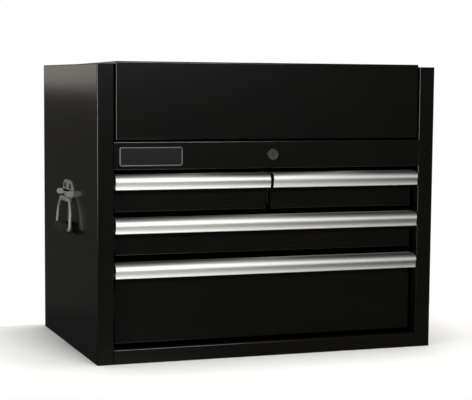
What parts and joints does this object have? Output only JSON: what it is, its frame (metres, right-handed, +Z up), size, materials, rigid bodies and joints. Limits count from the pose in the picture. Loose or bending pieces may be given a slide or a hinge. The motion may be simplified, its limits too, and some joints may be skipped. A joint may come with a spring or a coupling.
{
  "type": "machinist tool chest",
  "caption": "Lidded steel tool chest with a till under the lid, half-width and full-width drawers with extruded pulls, a lock and swinging side handles.",
  "frame": {"origin": "centre of the rectangular base face, on the surface it stands on", "axes": "+Z up, +X to the right seen from the front, -Y towards the user in front of the drawers"},
  "size_m": [0.7116, 0.4505, 0.5465],
  "materials": {
    "black_powder_coat": "satin",
    "aluminium_pull": "satin anodised",
    "zinc_steel": "zinc plated",
    "slide_steel": "zinc plated, smooth",
    "handle_plated_steel": "bright plated",
    "grip_plastic": "fine moulded grain",
    "liner": "ribbed matt",
    "lock_chrome": "polished",
    "badge_metal": "satin, bare",
    "strut_paint": "gloss",
    "rod_chrome": "polished"
  },
  "bodies": {
    "case": {"left_side_panel": "black_powder_coat", "right_side_panel": "black_powder_coat", "back_panel": "black_powder_coat", "bottom_panel": "black_powder_coat", "header_rail": "black_powder_coat", "bottom_rail": "black_powder_coat", "till_floor": "black_powder_coat", "till_mat": "liner", "drawer_divider": "black_powder_coat", "slide_posts": "black_powder_coat", "outer_slides": "slide_steel", "hinge_lower_leaf": "zinc_steel", "hinge_pin": "zinc_steel", "badge_plate": "badge_metal", "lock_housing": "lock_chrome", "lock_clip": "zinc_steel", "lock_bar_guides": "zinc_steel", "handle_brackets": "handle_plated_steel", "strut_feet": "zinc_steel"},
    "lid": {"lid_shell": "black_powder_coat", "lid_stiffener": "black_powder_coat", "hinge_upper_leaf": "zinc_steel", "lid_strut_studs": "zinc_steel"},
    "left_cylinder": {"left_strut_tube": "strut_paint"},
    "left_piston_rod": {"left_strut_rod": "rod_chrome"},
    "left_handle": {"left_handle_bail": "handle_plated_steel", "left_handle_grip": "grip_plastic"},
    "right_cylinder": {"right_strut_tube": "strut_paint"},
    "right_piston_rod": {"right_strut_rod": "rod_chrome"},
    "right_handle": {"right_handle_bail": "handle_plated_steel", "right_handle_grip": "grip_plastic"},
    "plug": {"lock_plug": "lock_chrome"},
    "rocker": {"lock_rocker": "zinc_steel"},
    "bar": {"lock_bar": "zinc_steel"},
    "upper_left_drawer": {"upper_left_drawer_box": "black_powder_coat", "upper_left_drawer_front": "black_powder_coat", "upper_left_drawer_pull": "aluminium_pull", "upper_left_drawer_mat": "liner", "upper_left_drawer_inner_slides": "slide_steel"},
    "upper_left_drawer_slides": {"upper_left_drawer_middle_slides": "slide_steel"},
    "upper_right_drawer": {"upper_right_drawer_box": "black_powder_coat", "upper_right_drawer_front": "black_powder_coat", "upper_right_drawer_pull": "aluminium_pull", "upper_right_drawer_mat": "liner", "upper_right_drawer_inner_slides": "slide_steel"},
    "upper_right_drawer_slides": {"upper_right_drawer_middle_slides": "slide_steel"},
    "middle_drawer": {"middle_drawer_box": "black_powder_coat", "middle_drawer_front": "black_powder_coat", "middle_drawer_pull": "aluminium_pull", "middle_drawer_mat": "liner", "middle_drawer_inner_slides": "slide_steel"},
    "middle_drawer_slides": {"middle_drawer_middle_slides": "slide_steel"},
    "lower_drawer": {"lower_drawer_box": "black_powder_coat", "lower_drawer_front": "black_powder_coat", "lower_drawer_pull": "aluminium_pull", "lower_drawer_mat": "liner", "lower_drawer_inner_slides": "slide_steel"},
    "lower_drawer_slides": {"lower_drawer_middle_slides": "slide_steel"}
  },
  "joints": [
    {"name": "lid_hinge", "type": "hinge", "parent": "case", "child": "lid", "pos_m": [0, 0.2172, 0.539], "axis": [-1, 0, 0], "range_deg": [0, 85]},
    {"name": "left_cylinder_pivot", "type": "hinge", "parent": "case", "child": "left_cylinder", "pos_m": [-0.286, 0.20136, 0.40997], "axis": [-1, 0, 0], "range_deg": [0, 42.5]},
    {"name": "left_rod_pivot", "type": "hinge", "parent": "lid", "child": "left_piston_rod", "pos_m": [-0.286, 0.08847, 0.52091], "axis": [-1, 0, 0], "range_deg": [-42.5, 0]},
    {"name": "right_cylinder_pivot", "type": "hinge", "parent": "case", "child": "right_cylinder", "pos_m": [0.286, 0.20136, 0.40997], "axis": [-1, 0, 0], "range_deg": [0, 42.5]},
    {"name": "right_rod_pivot", "type": "hinge", "parent": "lid", "child": "right_piston_rod", "pos_m": [0.286, 0.08847, 0.52091], "axis": [-1, 0, 0], "range_deg": [-42.5, 0]},
    {"name": "upper_left_drawer_slide", "type": "slide", "parent": "case", "child": "upper_left_drawer", "axis": [0, -1, 0], "range_m": [0, 0.38]},
    {"name": "upper_left_drawer_middle_travel", "type": "slide", "parent": "case", "child": "upper_left_drawer_slides", "axis": [0, -1, 0], "range_m": [0, 0.19]},
    {"name": "upper_right_drawer_slide", "type": "slide", "parent": "case", "child": "upper_right_drawer", "axis": [0, -1, 0], "range_m": [0, 0.38]},
    {"name": "upper_right_drawer_middle_travel", "type": "slide", "parent": "case", "child": "upper_right_drawer_slides", "axis": [0, -1, 0], "range_m": [0, 0.19]},
    {"name": "middle_drawer_slide", "type": "slide", "parent": "case", "child": "middle_drawer", "axis": [0, -1, 0], "range_m": [0, 0.38]},
    {"name": "middle_drawer_middle_travel", "type": "slide", "parent": "case", "child": "middle_drawer_slides", "axis": [0, -1, 0], "range_m": [0, 0.19]},
    {"name": "lower_drawer_slide", "type": "slide", "parent": "case", "child": "lower_drawer", "axis": [0, -1, 0], "range_m": [0, 0.38]},
    {"name": "lower_drawer_middle_travel", "type": "slide", "parent": "case", "child": "lower_drawer_slides", "axis": [0, -1, 0], "range_m": [0, 0.19]},
    {"name": "lock_bar_lift", "type": "slide", "parent": "case", "child": "bar", "axis": [0, 0, 1], "range_m": [0, 0.012]},
    {"name": "lock_plug_turn", "type": "hinge", "parent": "case", "child": "plug", "pos_m": [0, -0.21, 0.3782], "axis": [0, 1, 0], "range_deg": [0, 90]},
    {"name": "lock_rocker_tip", "type": "hinge", "parent": "case", "child": "rocker", "pos_m": [0, 0.0176, 0.3782], "axis": [1, 0, 0], "range_deg": [0, 3.42]},
    {"name": "left_handle_swing", "type": "hinge", "parent": "case", "child": "left_handle", "pos_m": [-0.3405, 0, 0.285], "axis": [0, 1, 0], "range_deg": [0, 90]},
    {"name": "right_handle_swing", "type": "hinge", "parent": "case", "child": "right_handle", "pos_m": [0.3405, 0, 0.285], "axis": [0, -1, 0], "range_deg": [0, 90]}
  ],
  "couplings": [
    {"joint": "left_cylinder_pivot", "follows": "lid_hinge", "ratio": 0.5},
    {"joint": "left_rod_pivot", "follows": "lid_hinge", "ratio": -0.5},
    {"joint": "right_cylinder_pivot", "follows": "lid_hinge", "ratio": 0.5},
    {"joint": "right_rod_pivot", "follows": "lid_hinge", "ratio": -0.5},
    {"joint": "upper_left_drawer_middle_travel", "follows": "upper_left_drawer_slide", "ratio": 0.5},
    {"joint": "upper_right_drawer_middle_travel", "follows": "upper_right_drawer_slide", "ratio": 0.5},
    {"joint": "middle_drawer_middle_travel", "follows": "middle_drawer_slide", "ratio": 0.5},
    {"joint": "lower_drawer_middle_travel", "follows": "lower_drawer_slide", "ratio": 0.5},
    {"joint": "lock_plug_turn", "follows": "lock_bar_lift", "rad_per_m": 130.67},
    {"joint": "lock_rocker_tip", "follows": "lock_bar_lift", "rad_per_m": 4.9611}
  ]
}
